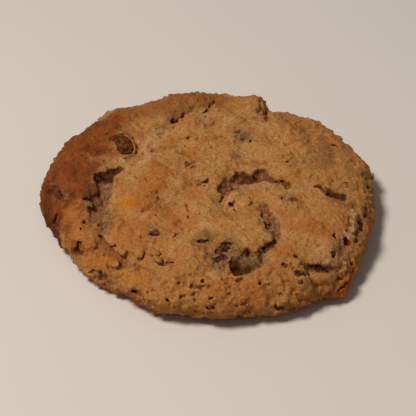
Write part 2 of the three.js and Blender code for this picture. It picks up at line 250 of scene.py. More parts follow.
# Windows in the crust over raisins: a pixel, the half length and half width of the window, the turn
# of its length from +X on the plan in degrees, and its depth.
WINDOWS = {
    "front_middle": (225.5, 247.5, 1.8, 1.25, 20, 1.1),
    "front_middle_left": (219.8, 251.8, 1.5, 1.0, 40, 1.1),
    "front_middle_low": (223.5, 257.5, 1.35, 0.95, -10, 1.1),
    "front_middle_lowest": (218.5, 260.6, 1.3, 0.9, 10, 1.1),
    "front_middle_small": (201.5, 242.5, 1.9, 1.0, 15, 0.9),
    "front_middle_dot": (208, 241, 0.6, 0.5, 0, 0.9),
    "pit": (248.5, 254.5, 0.6, 1.0, 0, 2.0),
    "back": (238, 133, 1.1, 0.7, 0, 0.85),
    "back_low": (241.5, 139.5, 0.8, 0.5, 0, 0.8),
    "left": (153.8, 233.8, 1.5, 0.9, -25, 0.95),
    "left_rim": (125, 144.5, 3.6, 2.3, 120, 1.1),
    "left_rim_top": (119.5, 138.5, 2.9, 1.5, 155, 1.0),
    "right_edge": (363, 178.8, 1.3, 1.1, 110, 1.1),
    "right_edge_low": (366.3, 185, 1.9, 1.0, 115, 1.0),
    "right_upper": (334.3, 238.7, 2.1, 0.65, 105, 1.1),
    "right_lower": (332, 254.5, 1.2, 0.65, 55, 1.1),
    "cleft": (360, 226, 2.4, 0.7, 85, 1.2),
    "front_right": (299, 273, 1.6, 0.9, -10, 0.95),
    "front_right_end": (304, 274.5, 1.0, 0.8, 0, 0.95),
    "front_right_low": (300.5, 282.3, 1.0, 0.6, -10, 0.9),
    "front": (211, 297.5, 1.2, 0.35, 10, 0.9),
}

# Hollows where the crust has torn: the pixels of the outline, the depth, and how far crumb shows.
HOLLOWS = {
    "hook": ([
        (222.6, 177.4), (228, 179), (233.2, 175.3), (236.3, 170.5), (245.8, 173.7), (251, 175.3),
        (255.3, 172.6), (258, 169), (262, 169), (266, 172.1), (270, 177.4), (278.4, 180.5),
        (288, 184.7), (288, 189), (282.6, 185.3), (274.2, 182.6), (262.6, 181), (252, 183.2),
        (241.6, 186.8), (238.4, 190.5), (230, 194.2), (226.8, 197.4), (224.7, 202.6),
        (218, 202.6), (220.5, 196.3), (220.5, 191),
    ], 1.05, 1.0),
    "second": ([
        (262, 203), (267, 206), (269, 212.5), (272, 217.5), (276.3, 222), (279.5, 227),
        (281.5, 234.5), (280.5, 243), (274, 247), (268, 251), (261, 255), (258.5, 252.5),
        (263, 247.5), (269, 242), (272, 236), (269.5, 230.5), (265.5, 225), (262, 219),
        (259.8, 213), (259.5, 206.5),
    ], 0.75, 1.0),
    "rim": ([
        (98, 176), (104, 173.5), (110, 171), (119, 167.5), (122, 170), (117, 175), (112, 182),
        (110.5, 190), (109, 200), (105, 206), (104, 215), (106, 228), (108, 236), (102, 234),
        (95, 224), (90, 214), (88, 204), (91, 197), (98, 193), (97.5, 184),
    ], 0.6, 0.7),
    "lump": ([
        (241.5, 249.5), (249.5, 249.5), (257.4, 253), (260.5, 257.6), (259.5, 264.5), (250, 267.5),
        (245.5, 271.5), (240.5, 271.5), (238, 267), (236.8, 260.8), (240, 256),
    ], 0.65, 0.6),
    "pinkish": ([
        (150, 151), (160, 145.5), (170, 147), (178, 152), (184, 160), (190, 172), (194, 182),
        (186, 184), (176, 178), (168, 168), (158, 164), (151, 159),
    ], 0.15, 0.25),
    "slit": ([(283, 195.5), (292, 194.8), (301, 197.5), (292, 199.5), (284, 199)], 0.5, 0.8),
    "front_left": ([(98, 270), (106, 272), (105, 281), (97, 280), (92, 275)], 0.5, 0.5),
    "flake": ([(141, 206), (149, 205), (153, 211), (148, 216.5), (142, 214)], 0.25, 0.1),
    "rim_deep": ([
        (98, 176), (101, 174), (106, 173.5), (109, 169), (112, 167.5), (117, 168.5), (121, 166.5),
        (121.5, 171), (117, 175.5), (112, 177.5), (110, 181), (100, 181),
    ], 1.1, 1.0),
    "left_edge": ([(48.5, 186.5), (57, 185.5), (60, 190), (58, 196), (48.5, 194.5)], 1.0, 1.0),
}

# Lumps on the crust: a pixel, the half length and half width, the turn of the length, the height.
LUMPS = {
    "pale_flake": (354, 221, 4.6, 1.3, 92, 0.55),
    "front_flake": (139, 300.5, 1.8, 0.9, -20, 0.5),
    "right_spike": (371, 175.5, 1.0, 0.5, 20, 0.4),
    "square": (189.5, 166, 0.9, 0.6, 60, 0.1),
    "rim_chip": (61.5, 192.5, 0.7, 0.35, 60, 0.3),
}

# Folds: the pixels of each one's foot, how far the ground falls towards it on the right-hand side
# of the way, and its depth. On the left-hand side is a cliff.
FOLDS = {
    "crease": ([
        (97, 232), (104, 245), (110, 251), (117, 255.5), (123, 260), (128, 262.3), (134, 264),
        (143, 268), (153, 273),
    ], 2.1, 0.95),
    "back": ([
        (206, 110), (201, 113), (193, 112), (186.5, 113.5), (180, 118.5), (174, 123), (169, 130),
    ], 2.4, 0.8),
    "slot": ([
        (305, 266), (309, 269), (316, 270.5), (324, 271), (329, 269.5), (338.5, 267), (343, 263),
    ], 2.0, 0.9),
    "right_slot": ([(326, 192), (333, 195), (339, 196.5), (348, 194.5)], 2.0, 0.8),
    "right_slot_left": ([(312, 185.5), (319, 187), (325, 190)], 1.4, 0.5),
    "slit": ([(282, 197), (290, 197), (301, 198)], 1.3, 0.5),
    "flake_border": ([(360, 232), (361, 222), (363, 210)], 1.6, 0.8),
    "curved_slit": ([(316, 219), (324.7, 224.2), (331, 231)], 1.2, 0.35),
    "low_crack": ([(156, 256), (165, 260.5), (178, 261)], 1.3, 0.4),
    "front": ([(176, 278.5), (186.5, 281), (190, 285), (199, 288.5), (207, 287.5)], 1.6, 0.5),
    "island": ([(245, 228), (252, 214), (259, 205), (262, 203)], 1.5, 0.3),
    "oval": ([(163, 170), (172, 168), (172.5, 180), (164, 190), (152, 194), (143, 193)], 1.4, 0.3),
    "pinkish": ([(196, 166), (186, 152), (178, 148), (168, 147), (158, 151)], 1.8, 0.4),
}

# Ridges: the pixels that each runs through, its half width and its height.
RIDGES = {
    "pale": ([(124, 162), (134, 163), (143, 150), (152, 140), (165, 131), (184, 130)], 0.9, 0.4),
    "hook_lip": ([(227, 201), (234, 195.5), (243, 189.5), (255, 186), (268, 184.5), (281, 188)], 0.8, 0.35),
    "second_lip": ([(264, 222), (269.5, 232), (271, 238), (268, 243)], 0.7, 0.35),
    "rim_lip": ([(86, 215), (85, 204), (90, 193.5), (95, 181), (101, 172)], 0.8, 0.15),
    "crease_lip": ([(103, 237), (108, 245.5), (115, 251.5), (122, 256), (130, 259.5)], 0.8, 0.3),
    "crease_foot": ([(94, 243), (100, 253), (109, 260.5), (120, 266.5)], 0.8, 0.25),
}

# The browned rim's middle, and a place by the crease where the crust stays whole.
RIM = [(52, 190), (75, 150), (110, 125), (150, 108)]
WHOLE_CRUST = (124, 262)

# ---- The camera, as the image was seen ----

view_direction = np.array([0, math.cos(CAMERA_ELEVATION), -math.sin(CAMERA_ELEVATION)])
view_up = np.array([0, math.sin(CAMERA_ELEVATION), math.cos(CAMERA_ELEVATION)])
view_right = np.array([1.0, 0, 0])
eye = CAMERA_TARGET - CAMERA_DISTANCE * view_direction
focal_pixels = PIXELS_PER_MM * CAMERA_DISTANCE


def make_camera():
    camera = bpy.data.objects.new("camera", bpy.data.cameras.new("camera"))
    bpy.context.scene.collection.objects.link(camera)
    camera.data.sensor_width = SENSOR
    camera.data.lens = focal_pixels / IMAGE_SIZE * SENSOR
    camera.data.clip_start = 10 * MM
    camera.data.clip_end = 10_000 * MM
    camera.location = Vector(eye * MM)
    camera.rotation_mode = "QUATERNION"
    camera.rotation_quaternion = Vector(view_direction).to_track_quat("-Z", "Y")
    bpy.context.scene.camera = camera


# ---- The CAD model's meshes, and places on them ----


def triangles_of(nodes):
    """The corners in mm, and the triangles as corner numbers, of CAD nodes taken together."""
    corners, faces, count = [], [], 0
    for node in nodes:
        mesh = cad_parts[node].data
        mesh.calc_loop_triangles()
        place = np.empty(len(mesh.vertices) * 3, np.float32)
        mesh.vertices.foreach_get("co", place)
        face = np.empty(len(mesh.loop_triangles) * 3, np.int32)
        mesh.loop_triangles.foreach_get("vertices", face)
        corners.append(place.reshape(-1, 3) / MM)
        faces.append(face.reshape(-1, 3) + count)
        count += len(mesh.vertices)
    return np.concatenate(corners), np.concatenate(faces)


raisins = sorted(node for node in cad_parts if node.startswith("raisin"))
crust_tree = BVHTree.FromPolygons(*(part.tolist() for part in triangles_of(["dough", *raisins])))


def on_crust(pixel):
    """The place on the CAD model's surface that shows at a pixel of the image."""
    across = (pixel[0] - IMAGE_SIZE / 2) / focal_pixels
    down = (pixel[1] - IMAGE_SIZE / 2) / focal_pixels
    ray = view_direction + across * view_right - down * view_up
    hit = crust_tree.ray_cast(Vector(eye), Vector(ray).normalized())[0]
    if hit is None:
        raise ValueError(f"pixel {pixel} misses the cookie")
    return np.array(hit)


# ---- The grid ----

index_low = np.floor((np.array(cad_low) / MM - MARGIN) / VOXEL).astype(int)
index_high = np.ceil((np.array(cad_high) / MM + MARGIN) / VOXEL).astype(int)
shape = index_high - index_low + 1
start = index_low * VOXEL
axis_places = [start[axis] + VOXEL * np.arange(shape[axis], dtype=np.float32) for axis in range(3)]
heights = axis_places[2][None, None, :]
noise_start = np.floor(np.array(cad_low) / MM - MARGIN - 1)


def level_set(nodes):
    """Distances to the surface of CAD nodes, below 0 inside them."""
    corners, faces = triangles_of(nodes)
    grid = openvdb.FloatGrid.createLevelSetFromPolygons(
        corners,
        triangles=faces.astype(np.uint32),
        transform=openvdb.createLinearTransform(VOXEL),
        halfWidth=BAND / VOXEL,
    )
    field = np.empty(shape, np.float32)
    grid.copyToArray(field, ijk=tuple(int(i) for i in index_low))
    return field


def no_shape():
    return np.full(shape, EMPTY, np.float32)


def blurred(field, reach):
    """The field smoothed by three box averages, each about `reach` mm wide, along each axis."""
    width = 2 * round(reach / VOXEL / 2) + 1
    edges = [(width // 2 + 1, width // 2)] + [(0, 0)] * (field.ndim - 1)
    for axis in range(field.ndim):
        field = np.moveaxis(field, axis, 0)
        size = len(field)
        for _ in range(3):
            padded = np.pad(field, edges, mode="edge")
            total = np.cumsum(padded, axis=0, dtype=np.float32)
            field = (total[width : width + size] - total[:size]) / width
        field = np.moveaxis(field, 0, axis)
    return field


def mottle(reach, seed, axes=3):
    """Fine noise with a mean of 0 and a spread of 1, from random numbers blurred over a reach."""
    values = np.random.default_rng(seed).standard_normal(shape[:axes], dtype=np.float32)
    values = blurred(values, reach)
    return values / values.std()


def spline_weights(places, spacing, first):
    """Weights, at each of the places along an axis, of lattice points that lie `spacing` apart."""
    steps = (places - first) / spacing + 1
    gap = np.abs(steps[:, None] - np.arange(int(steps.max()) + 3))
    wide = np.clip(2 - gap, 0, None) ** 3 / 6
    return (wide - np.clip(1 - gap, 0, None) ** 3 * 2 / 3).astype(np.float32)


def grid_noise(length, seed, axes=(0, 1, 2)):
    """Smooth noise with a mean of 0 and a spread of 1, whose bumps are about `length` mm apart."""
    weights = [spline_weights(axis_places[axis], length / 2, noise_start[axis]) for axis in axes]
    lattice = [weight.shape[1] for weight in weights]
    values = np.random.default_rng(seed).standard_normal(lattice).astype(np.float32)
    for weight in weights:
        values = np.tensordot(values, weight, axes=(0, 1))
    return values / values.std()


def sample(field, places):
    """The field's values at places between the grid's points."""
    index = (places - start) / VOXEL
    low = np.clip(np.floor(index).astype(int), 0, shape - 2)
    share = index - low
    total = 0
    for corner in np.ndindex(2, 2, 2):
        weight = np.prod(np.where(corner, share, 1 - share), axis=1)
        total = total + weight * field[tuple((low + corner).T)]
    return total


def outward(field, places, step=0.6):
    """The unit direction out of the surface at places near it."""
    slope = [
        sample(field, places + step * offset) - sample(field, places - step * offset)
        for offset in np.eye(3)
    ]
    slope = np.stack(slope, axis=1)
    return slope / np.linalg.norm(slope, axis=1, keepdims=True)


def smooth_step(low, high, value):
    """A smooth rise from 0 where the value is low to 1 where it is high."""
    share = np.clip((value - low) / (high - low), 0, 1)
    return share * share * (3 - 2 * share)


def blend_min(a, b, reach):
    """The lesser of two distances, rounded where they are within reach of each other."""
    share = np.clip(0.5 + 0.5 * (b - a) / reach, 0, 1)
    return b + (a - b) * share - reach * share * (1 - share)


# ---- Small shapes on the grid ----

random = np.random.default_rng(5)


def box_round(centre, reach):
    """The part of the grid within reach of a place, and the offsets of its points from it."""
    low = np.clip(np.floor((centre - reach - start) / VOXEL).astype(int), 0, shape - 1)
    high = np.clip(np.ceil((centre + reach - start) / VOXEL).astype(int) + 1, low + 1, shape)
    cut = tuple(slice(a, b) for a, b in zip(low, high))
    offsets = [axis_places[axis][cut[axis]] - centre[axis] for axis in range(3)]
    return cut, np.meshgrid(*offsets, indexing="ij", sparse=True)


def axes_at(normal, turn):
    """Three unit axes: the normal last, and the first turned by `turn` from +X on the plan."""
    along = np.array([math.cos(turn), math.sin(turn), 0])
    along -= normal * (along @ normal)
    along /= np.linalg.norm(along)
    return np.array([along, np.cross(normal, along), normal])


def stamp(field, centre, axes, radii):
    """Puts the distance to an ellipsoid into the field where it is less than what is there."""
    cut, (x, y, z) = box_round(centre, max(radii) + 0.8)
    inner, outer = 0, 0
    for (ax, ay, az), radius in zip(axes, radii):
        share = (x * ax + y * ay + z * az) / radius
        inner = inner + share**2
        outer = outer + (share / radius) ** 2
    inner = np.sqrt(inner)
    scale = np.clip(inner / np.sqrt(outer + 1e-9), min(radii), max(radii))
    field[cut] = np.minimum(field[cut], (inner - 1) * scale)


def smoothed_path(pixels, spacing):
    """Places on the crust, spacing apart, along a smooth line through pixels of the image."""
    corners = np.array([on_crust(pixel) for pixel in pixels])
    before = 2 * corners[:1] - corners[1:2]
    after = 2 * corners[-1:] - corners[-2:-1]
    padded = np.concatenate([before, corners, after])
    line = []
    for a, b, c, d in zip(padded, padded[1:], padded[2:], padded[3:]):
        count = max(int(np.linalg.norm(c - b) / spacing), 1)
        t = np.linspace(0, 1, count, endpoint=False)[:, None]
        bend = (2 * a - 5 * b + 4 * c - d) * t**2 + (3 * b - a - 3 * c + d) * t**3
        line.append(b + ((c - a) * t + bend) / 2)
    return np.concatenate([*line, corners[-1:]])


def wander(count):
    """Numbers that wander smoothly round 0 with a spread of 1."""
    kernel = np.hanning(2 * WANDER_REACH + 1)
    kernel /= math.sqrt((kernel**2).sum())
    return np.convolve(random.standard_normal(count + 2 * WANDER_REACH), kernel, mode="valid")


def string_of_beads(field, pixels, width, depth, ragged=0.0):
    """Ellipsoids strung along a line on the crust, `depth` deep and high: a groove or a ridge."""
    path = smoothed_path(pixels, BEAD_STEP)
    normals = outward(base, path)
    share = np.linspace(0, 1, len(path))
    ends = np.minimum(1, np.minimum(share, 1 - share) / BEAD_TAPER + 0.35)
    widths = width * ends * (1 + 0.22 * wander(len(path)))
    widths *= 1 - ragged * random.uniform(0, 0.5, len(path))
    sideways = 0.12 * wander(len(path))[:, None] + np.zeros((1, 2))
    sideways += ragged * width * random.uniform(-0.5, 0.5, (len(path), 2))
    for place, normal, half, off, end in zip(path, normals, widths, sideways, ends):
        half = max(half, LEAST_BEAD)
        axes = axes_at(normal, 0)
        stamp(field, place + off @ axes[:2], axes, (half, half, depth * end))


def ragged_pit(field, x, y, width, depth):
    """A cluster of small ellipsoids where a pixel shows the crust, which make a ragged pit."""
    place = on_crust((x, y))
    axes = axes_at(outward(base, place[None])[0], 0)
    for _ in range(PIT_GRAINS):
        off = random.normal(0, 0.5 * width, 2)
        half = max(width * random.uniform(0.35, 0.8), LEAST_GRAIN)
        length = half * random.uniform(0.8, 1.6)
        radii = (length, half, depth * random.uniform(0.6, 1))
        stamp(field, place + off @ axes[:2], axes, radii)


def ellipsoid_at(field, x, y, length, width, turn, depth):
    """Puts an ellipsoid into the field where a pixel shows the crust, `depth` high and deep."""
    place = on_crust((x, y))
    normal = outward(base, place[None])[0]
    stamp(field, place, axes_at(normal, math.radians(turn)), (length, width, depth))


def frayed(field):
    """The field with its shapes' outlines made ragged, by reading each place a little way off."""
    near = np.nonzero(field < 1.5)
    places = [axis_places[axis][near[axis]] + fray[axis][near] for axis in range(3)]
    result = field.copy()
    result[near] = sample(field, np.stack(places, axis=1))
    return result


def stretches(points, ends):
    """For each straight stretch, what the grid's points on the plan have to do with it.

    These are the share of the stretch at which a point is nearest to it, the gap, whether the
    point is on its right-hand side, and whether a line from the point towards +X crosses it.
    """
    x = axis_places[0][:, None] + plan_fray[0]
    y = axis_places[1][None, :] + plan_fray[1]
    for (ax, ay), (bx, by) in zip(points, ends):
        dx, dy = bx - ax, by - ay
        share = np.clip(((x - ax) * dx + (y - ay) * dy) / (dx * dx + dy * dy), 0, 1)
        gap = np.hypot(x - ax - share * dx, y - ay - share * dy)
        right = (x - ax) * dy - (y - ay) * dx > 0
        crossed = ((ay > y) != (by > y)) & (right == (dy < 0))
        yield share, gap, right, crossed


def inside_distance(outline):
    """How far inside an outline, which is pixels of the image, each point of the plan lies."""
    points = np.array([on_crust(pixel)[:2] for pixel in outline])
    nearest = np.full(shape[:2], np.inf)
    inside = np.zeros(shape[:2], bool)
    for _, gap, _, crossed in stretches(points, np.roll(points, -1, axis=0)):
        nearest = np.minimum(nearest, gap)
        inside ^= crossed
    return np.where(inside, nearest, -nearest)


def falling_to(pixels, width):
    """On the plan, 1 along the foot of a fold, falling to 0 at the width on its right-hand side."""
    points = np.array([on_crust(pixel)[:2] for pixel in pixels])
    nearest = np.full(shape[:2], np.inf)
    level = np.zeros(shape[:2])
    count = len(points) - 1
    for number, (share, gap, right, _) in enumerate(stretches(points, points[1:])):
        ends = smooth_step(0, 0.2, np.minimum(number + share, count - number - share) / count)
        slope = np.where(right, np.clip(1 - gap / width, 0, 1), smooth_step(FOLD_CLIFF, 0, gap))
        level = np.where(gap < nearest, ends * slope, level)
        nearest = np.minimum(nearest, gap)
    return level


make_camera()

raisin_field = level_set(raisins)
base = blurred(np.minimum(level_set(["dough"]), raisin_field), SMOOTHING)

# How far the outlines of small shapes, and of hollows and folds on the plan, are led astray.
fray = [
    0.2 * mottle(1.6, seed=40 + axis) + 0.14 * mottle(0.8, seed=45 + axis) for axis in range(3)
]
plan_fray = [
    0.35 * mottle(2.4, seed=60 + axis, axes=2) + 0.15 * mottle(1.1, seed=65 + axis, axes=2)
    for axis in range(2)
]

holes = no_shape()
for crack in CRACKS.values():
    string_of_beads(holes, *crack, ragged=1.0)
for pit in sum(PITS.values(), []):
    ragged_pit(holes, *pit)
holes = frayed(holes)
windows = no_shape()
for window in WINDOWS.values():
    ellipsoid_at(windows, *window)
windows = frayed(windows)
bored = no_shape()
for name in BORED_PITS:
    for x, y, width, depth in PITS[name]:
        ellipsoid_at(bored, x, y, width, width, 0, depth)
holes = np.minimum(holes, bored)

troughs = no_shape()
for trough in TROUGHS.values():
    string_of_beads(troughs, *trough, ragged=0.2)
troughs = frayed(troughs)

lumps = no_shape()
for lump in LUMPS.values():
    ellipsoid_at(lumps, *lump)
for ridge in RIDGES.values():
    string_of_beads(lumps, *ridge)
lumps = frayed(lumps)

fine = mottle(1.6, seed=3)
finest = mottle(0.7, seed=4)
top = smooth_step(*TOP_FROM, heights)
hollow = np.zeros(shape, np.float32)
torn = np.zeros(shape, np.float32)
for outline, depth, crumb_share in HOLLOWS.values():
    inside = inside_distance(outline)[:, :, None] + 0.25 * fine + 0.12 * finest
    hollow = np.maximum(hollow, depth * smooth_step(-0.15, 0.5, inside) * top)
    torn = np.maximum(torn, crumb_share * smooth_step(-0.35, 0.1, inside) * top)
for pixels, width, depth in FOLDS.values():
    hollow = np.maximum(hollow, depth * falling_to(pixels, width)[:, :, None] * top)

# ---- The crust ----

skin = np.argwhere(np.abs(base) < VOXEL / 2)
skin = start + skin[skin[:, 2] * VOXEL + start[2] > CRUST_FROM] * VOXEL


def scatter(count):
    """Random places on the crust, with their outward directions."""
    places = skin[random.choice(len(skin), count, replace=False)]
    places = places + random.uniform(-0.5, 0.5, places.shape) * VOXEL
    return places, outward(base, places)


def spaced_out(gap):
    """Places on the crust, no two nearer to each other than the gap."""
    chosen = np.zeros((0, 3))
    for place in skin[random.choice(len(skin), PLATE_TRIES, replace=False)]:
        if not len(chosen) or ((chosen - place) ** 2).sum(axis=1).min() > gap * gap:
            chosen = np.vstack([chosen, place])
    return chosen


plate_warp = [
    0.75 * grid_noise(3.2, seed=20 + axis) + 0.3 * grid_noise(1.3, seed=30 + axis)
    for axis in range(3)
]


def plates(spacing):
    """Cells of crust with ragged borders: the distance to the border, and each cell's own level."""
    nearest = np.full(shape, 2 * spacing, np.float32)
    second = nearest.copy()
    level = np.zeros(shape, np.float32)
    for centre in spaced_out(0.75 * spacing):
        cut, offsets = box_round(centre, 1.3 * spacing)
        distance = sum((offset + warp[cut]) ** 2 for offset, warp in zip(offsets, plate_warp))
        distance = np.sqrt(distance).astype(np.float32)
        closer = distance < nearest[cut]
        second[cut] = np.where(closer, nearest[cut], np.minimum(second[cut], distance))
        nearest[cut] = np.minimum(nearest[cut], distance)
        level[cut] = np.where(closer, random.uniform(-1, 1), level[cut])
    return (second - nearest) / 2, level


def spot(pixel, radius):
    """1 round the place that shows at a pixel, falling to 0 at the radius, on the plan."""
    x, y, _ = on_crust(pixel)
    gap = np.hypot(axis_places[0][:, None] - x, axis_places[1][None, :] - y)
    return smooth_step(radius, 0.4 * radius, gap)[:, :, None]


# How rough the crust is: more so at the front and where it has torn, less so on the browned rim.
front = smooth_step(*FRONT_FROM, axis_places[1])[None, :, None]
browned_rim = np.clip(sum(spot(pixel, 11) for pixel in RIM), 0, 1)
rough = 0.4 + 0.15 * np.clip(grid_noise(18, seed=6), -1, 1) + 0.3 * front
rough = np.clip(rough - 0.15 * browned_rim + 0.5 * torn, 0.1, 1.0)

# Gaps that open between plates of crust, though not over raisins.
large_gap, large_level = plates(LARGE_PLATE)
small_gap, small_level = plates(SMALL_PLATE)
opening = np.clip(0.3 * rough + 0.12 * grid_noise(9, seed=7) - 0.43 - 0.1 * browned_rim, 0, 0.2)
opening *= smooth_step(0.6, 1.8, raisin_field) * (1 - spot(WHOLE_CRUST, 9))

# How far the crust lies under the CAD model's surface: rolls, plates at their own levels with
# sunken borders, and the highest part held down.
rolls = grid_noise(5.5, seed=2)
swell = SLOPES * grid_noise(14, seed=1) + ROLLS * rolls
swell -= blurred(LARGE_STEP * large_level + SMALL_STEP * rough * small_level, 0.6)
swell += BORDER_DROP * rough * np.exp(-((small_gap / BORDER_WIDTH) ** 2))
swell += PEAK_DROP * smooth_step(*PEAK_FROM, heights)

flakes = no_shape()
places, normals = scatter(FLAKES)  # those that fall on the browned rim are left out
on_rim = sample(np.broadcast_to(browned_rim, shape), places)
for place, normal, rim_share in zip(places, normals, on_rim):
    tilt = normal + random.normal(0, 0.13, 3)
    tilt /= np.linalg.norm(tilt)
    length = random.uniform(*FLAKE_LENGTHS)
    radii = (length, length * random.uniform(0.55, 0.75), random.uniform(0.3, 0.45))
    turned = axes_at(tilt, random.uniform(0, math.pi))
    if rim_share < 0.3:
        stamp(flakes, place - FLAKE_SINK * normal, turned, radii)

crumbs = no_shape()
places, normals = scatter(CRUMBS)
sunk = sample(hollow + swell, places)
coarseness = sample(rough, places)
for place, normal, drop, share in zip(places, normals, sunk, coarseness):
    radius = random.uniform(*CRUMB_RADII)
    drop += radius * random.uniform(0.6, 1.0) - 0.14 * share
    stamp(crumbs, place - drop * normal, np.eye(3), (radius,) * 3)

pores = no_shape()
for place, normal in zip(*scatter(PORES)):
    for _ in range(3):
        radius = 0.2 + 0.22 * random.random() ** 2
        apart = random.normal(0, 0.3, 3)
        stamp(pores, place + apart, axes_at(normal, 0), (radius, radius, radius * 2.5))

# Distances to the dough's surface: the crust with its flakes and hollows, the skin over raisins,
# lumps and crumbs. The gaps, holes, windows, troughs and pores are then cut out of it.
dough = blend_min(base + swell, flakes + 0.1 * fine, 0.35)
dough += hollow * (1 + 0.2 * fine + 0.1 * finest)
dough = blend_min(dough, raisin_field - SKIN - 0.12 * fine, 0.8)
dough = blend_min(dough, lumps + 0.1 * fine + 0.08 * finest, 0.9)
dough = blend_min(dough, crumbs + 0.06 * finest, 0.15)
dough += (0.04 + 0.08 * rough) * fine + (0.07 + 0.08 * rough) * finest
dough = np.maximum(dough, opening * (1 + base / 1.3) - np.minimum(large_gap, small_gap + 0.15))
dough = np.maximum(dough, -(np.minimum(holes, windows) + 0.05 * finest))
dough = -blend_min(-dough, troughs, 0.3)
dough = np.maximum(dough, -np.maximum(pores + 0.08 * finest, 1 - raisin_field))

ground = UNDERSIDE_RELIEF * np.clip(grid_noise(5, seed=8, axes=(0, 1)) + 0.4, 0, 2)
dough = np.maximum(dough, ground[:, :, None] - heights)
dough = np.maximum(dough, -heights)


# ---- The mesh of the dough ----


def largest_part(faces, count):
    """Which of the faces belong to the largest connected part."""
    label = np.arange(count)
    edges = np.concatenate([faces[:, [0, 1]], faces[:, [1, 2]], faces[:, [2, 0]]])
    while True:
        least = np.minimum(label[edges[:, 0]], label[edges[:, 1]])
        lower = label.copy()
        np.minimum.at(lower, edges[:, 0], least)
        np.minimum.at(lower, edges[:, 1], least)
        lower = lower[lower]
        if np.array_equal(lower, label):
            break
        label = lower
    return label[faces[:, 0]] == np.bincount(label[faces[:, 0]]).argmax()


def add_piece(name, mesh):
    piece = bpy.data.objects.new(name, mesh)
    bpy.context.scene.collection.objects.link(piece)
    return piece


def apply_modifiers(piece):
    """Carries out the piece's modifiers on its mesh, and takes them away."""
    shown = piece.evaluated_get(bpy.context.evaluated_depsgraph_get())
    mesh = bpy.data.meshes.new_from_object(shown)
    piece.modifiers.clear()
    piece.data = mesh


def places_on(piece):
    """The places of a mesh's corners in mm."""
    places = np.empty(len(piece.data.vertices) * 3, np.float32)
    piece.data.vertices.foreach_get("co", places)
    return places.reshape(-1, 3).astype(np.float64) / MM


def piece_of(field, name):
    """The surface where the field is 0, as an object of at most MOST_FACES triangles."""
    grid = openvdb.FloatGrid(BAND)
    grid.transform = openvdb.createLinearTransform(VOXEL)
    grid.copyFromArray(np.ascontiguousarray(field), ijk=tuple(int(i) for i in index_low))
    corners, triangles, quads = grid.convertToPolygons(isovalue=0.0, adaptivity=0.0)
    faces = np.concatenate([triangles, quads[:, [0, 1, 2]], quads[:, [0, 2, 3]]]).astype(np.int64)
    faces = faces[largest_part(faces, len(corners))]
    used, faces = np.unique(faces, return_inverse=True)
    faces = faces.reshape(-1, 3)
    mesh = bpy.data.meshes.new(name)
    mesh.from_pydata((corners[used] * MM).tolist(), [], faces.tolist())
    piece = add_piece(name, mesh)
    if len(faces) > MOST_FACES:
        piece.modifiers.new("reduce", "DECIMATE").ratio = MOST_FACES / len(faces)
        apply_modifiers(piece)
    piece.data.shade_smooth()
    return piece


crust = piece_of(dough, "crust")

# ---- Where the crust's colours lie ----

BROWNED = {
    "upper left rim": ([(53, 205), (56, 182), (74, 152), (102, 129)], 9.0, 1.0),
    "back rim": ([(110, 122), (140, 108), (182, 99), (212, 97)], 5.0, 0.55),
    "left edge": ([(48, 205), (51, 222), (58, 238)], 2.8, 1.0),
    "left hollow": ([(51, 188), (55, 192)], 1.6, 1.0),
}
ORANGE = {
    "oval left of the middle": ([(160, 170), (152, 182), (142, 194)], 3.9, 0.8),
    "below the oval": ([(137, 205), (147, 206)], 2.4, 1.0),
    "left middle": ([(118, 232), (140, 228), (155, 214), (182, 223)], 4.2, 0.55),
    "left low middle": ([(128, 246), (150, 250)], 4.0, 0.35),
    "low left": ([(88, 250), (94, 258), (102, 256)], 3.2, 0.85),
    "left rim": ([(66, 206), (70, 222), (76, 240)], 3.6, 0.6),
    "front": ([(244, 298), (262, 302)], 3.6, 0.65),
    "front left": ([(212, 291), (222, 293)], 2.4, 0.6),
    "right of the pit": ([(282, 249), (288, 247)], 2.6, 0.8),
    "right": ([(308, 222), (322, 228)], 2.8, 0.7),
    "far right": ([(343, 214), (347, 224)], 1.6, 0.8),
    "back edge": ([(185, 99), (215, 98), (245, 99)], 2.0, 0.4),
    "back right edge": ([(283, 115), (305, 123), (335, 141), (352, 159)], 1.8, 0.35),
    "streak": ([(190, 153), (199, 146), (206, 141)], 1.1, 0.7),
    "right rim": ([(370, 215), (365, 240), (357, 268)], 2.2, 0.6),
    "foot": ([(332, 294), (344, 289), (355, 270)], 2.6, 1.0),
    "flake": ([(137, 300), (144, 302)], 1.3, 1.0),
    "front face": ([(135, 280), (165, 297), (200, 306), (240, 309), (285, 301), (318, 285)], 4.5, 0.25),
    "front rise": ([(180, 285), (225, 285), (270, 288), (300, 290)], 4.0, 0.15),
}
YELLOW = {
    "spot": ([(121.5, 203.5), (127, 203)], 1.8, 1.0),
    "tail": ([(130, 203), (136, 201)], 0.7, 0.6),
    "spot low": ([(120, 207), (123, 212)], 1.1, 0.4),
    "front left": ([(121, 274), (137, 276)], 1.8, 0.4),
}
# Pale crumb, and painted highlight along the lips of the tears.
PALE = {
    "inside the rim": ([(122, 161), (134, 166), (146, 158), (151, 143), (166, 132)], 1.5, 0.8),
    "specks": ([(143, 214), (150, 212)], 0.9, 0.7),
    "flake": ([(353, 209), (353, 220), (348, 236)], 1.4, 0.9),
    "round the right raisins": ([(326, 248), (338, 262)], 3.0, 0.6),
    "back": ([(205, 118), (240, 122), (262, 130)], 4.0, 0.2),
    "front foot": ([(225, 312), (245, 315), (275, 309)], 1.4, 0.4),
    # The lips below are painted highlight, where the edges of the tears catch the light.
    "hook lip": ([(229, 201), (234, 196.5), (243, 191), (255, 187), (268, 185)], 0.9, 0.5),
    "second lip": ([(262, 222), (267, 232), (268, 240)], 0.8, 0.4),
    "crease lip": ([(106, 237), (112, 246), (119, 252), (131, 259)], 0.8, 0.4),
}
